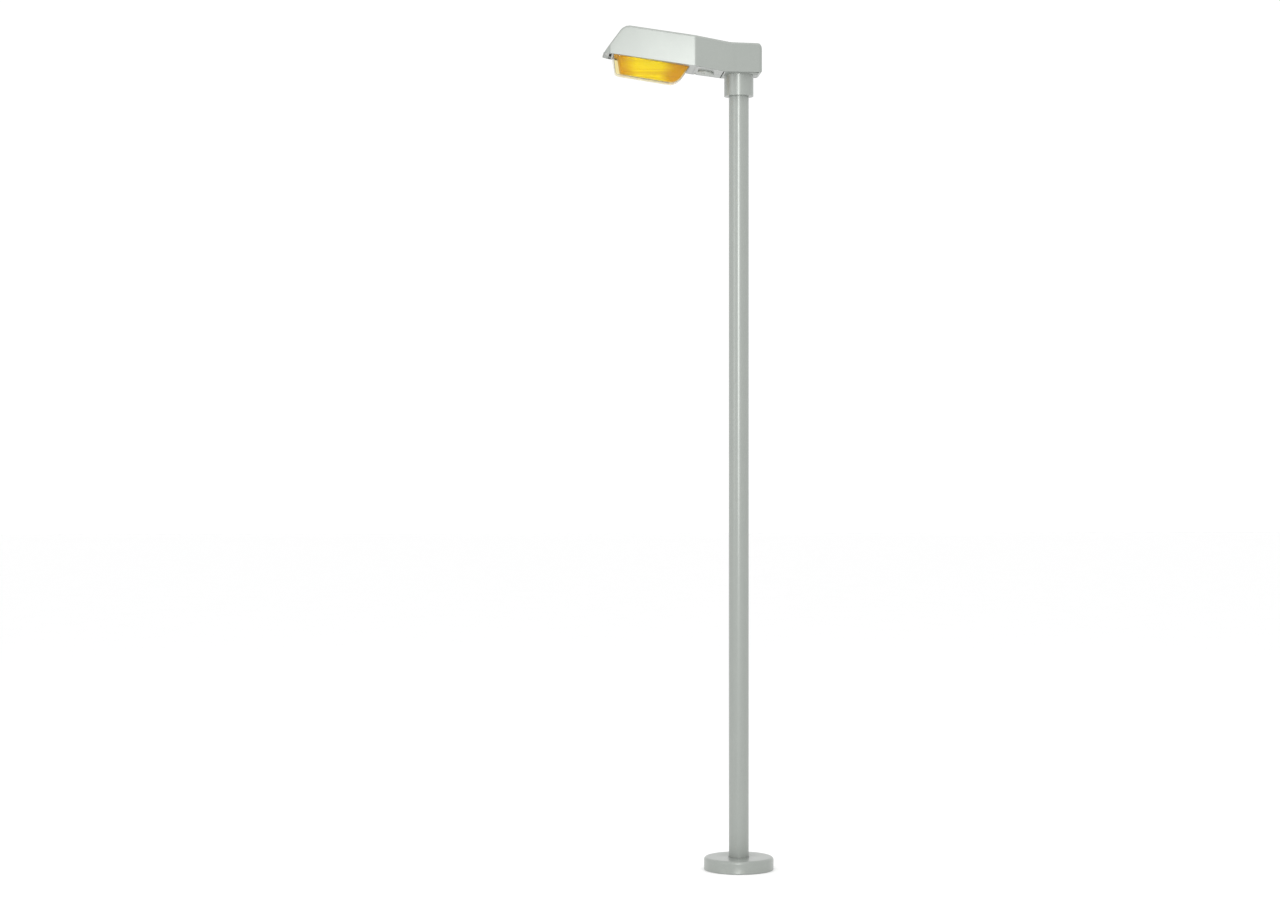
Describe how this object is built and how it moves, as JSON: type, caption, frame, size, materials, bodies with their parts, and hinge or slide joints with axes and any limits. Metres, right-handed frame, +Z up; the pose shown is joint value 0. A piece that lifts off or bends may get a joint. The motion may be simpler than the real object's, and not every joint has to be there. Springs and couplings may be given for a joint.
{
  "type": "street lamp post",
  "caption": "Street lamp post: round tube pole on a covered flange base, a collar and one angular side-reaching head with a hinged amber bowl.",
  "frame": {"origin": "centre of the flange plate's underside, which stands on the foundation", "axes": "+Z up along the pole, +X along the head"},
  "size_m": [0.981, 0.4, 4.8156],
  "materials": {
    "paint": "satin",
    "head_paint": "satin painted",
    "galvanised": "dull zinc",
    "zinc": "bright zinc",
    "sheet": "mill",
    "mirror_sheet": "polished",
    "rubber": "matte",
    "cable": "matte",
    "board": "sealed",
    "grey_plastic": "moulded",
    "knob_plastic": "moulded",
    "white_plastic": "moulded",
    "brass": "satin",
    "ceramic": "smooth",
    "core": "varnished",
    "lamp_glass": "clear",
    "clear_bowl": "clear",
    "amber": "ribbed amber"
  },
  "bodies": {
    "post": {"flange_plate": "galvanised", "base_gussets": "galvanised", "pole_door_section": "paint", "pole_shaft": "paint", "door_frame": "galvanised", "hinge_barrels": "paint", "hinge_pins": "zinc", "backboard_rails": "galvanised", "backboard": "board", "backboard_screws": "zinc", "cutout_base": "grey_plastic", "cutout_terminals": "brass", "earth_stud": "brass", "cable_gland": "grey_plastic", "pole_cable": "cable", "pole_grommet": "rubber"},
    "base_cover": {"base_cover": "paint", "cover_seal": "rubber"},
    "door": {"access_door": "paint", "door_gasket": "rubber", "hinge_knuckles": "paint", "lock_barrel": "zinc", "lock_nut": "zinc"},
    "door_lock": {"lock_spindle": "brass", "lock_cam": "zinc"},
    "fuse_carrier": {"fuse_carrier": "grey_plastic", "fuse_link": "ceramic"},
    "head": {"collar": "head_paint", "set_screws": "zinc", "spigot_plate": "galvanised", "collar_bolts": "zinc", "canopy": "head_paint", "gear_tray": "sheet", "tray_screws": "zinc", "ballast": "core", "capacitor": "sheet", "ignitor": "grey_plastic", "terminal_block": "white_plastic", "head_cable": "cable", "cable_clamp": "grey_plastic", "lampholder_bracket": "sheet", "lampholder": "ceramic", "lamp_cap": "brass", "lamp_glass": "lamp_glass", "arc_tube": "ceramic", "lamp_wires": "zinc", "reflector": "mirror_sheet", "cover_hinge_brackets": "sheet", "bowl_hinge_brackets": "head_paint"},
    "gear_cover": {"gear_cover": "head_paint", "cover_screws": "zinc", "cover_hinge_pins": "zinc"},
    "latch": {"latch_knob": "knob_plastic", "latch_cam": "zinc"},
    "bowl": {"bowl_frame": "head_paint", "bowl": "clear_bowl", "refractor": "amber", "bowl_gasket": "rubber", "bowl_catch": "zinc", "bowl_hinge_pins": "zinc"}
  },
  "joints": [
    {"name": "base_cover_lift", "type": "slide", "parent": "post", "child": "base_cover", "axis": [0, 0, 1], "range_m": [0, 0.3]},
    {"name": "door_hinge", "type": "hinge", "parent": "post", "child": "door", "pos_m": [-0.051, -0.03891, 0.65], "axis": [0, 0, -1], "range_deg": [0, 120]},
    {"name": "door_lock_turn", "type": "hinge", "parent": "door", "child": "door_lock", "pos_m": [0, -0.05, 0.776], "axis": [0, -1, 0], "range_deg": [0, 90]},
    {"name": "fuse_carrier_pull", "type": "slide", "parent": "post", "child": "fuse_carrier", "axis": [0, -1, 0], "range_m": [0, 0.018]},
    {"name": "head_swivel", "type": "hinge", "parent": "post", "child": "head", "pos_m": [0, 0, 4.5], "axis": [0, 0, 1], "range_deg": [-90, 90]},
    {"name": "gear_cover_hinge", "type": "hinge", "parent": "head", "child": "gear_cover", "pos_m": [0.09806, 0, 4.56311], "axis": [0, 1, 0], "range_deg": [0, 80]},
    {"name": "latch_turn", "type": "hinge", "parent": "gear_cover", "child": "latch", "pos_m": [0.18972, 0, 4.5724], "axis": [0.1547, 0, -0.988], "range_deg": [0, 90]},
    {"name": "bowl_hinge", "type": "hinge", "parent": "head", "child": "bowl", "pos_m": [0.73977, 0, 4.66663], "axis": [0, -1, 0], "range_deg": [0, 85]}
  ]
}
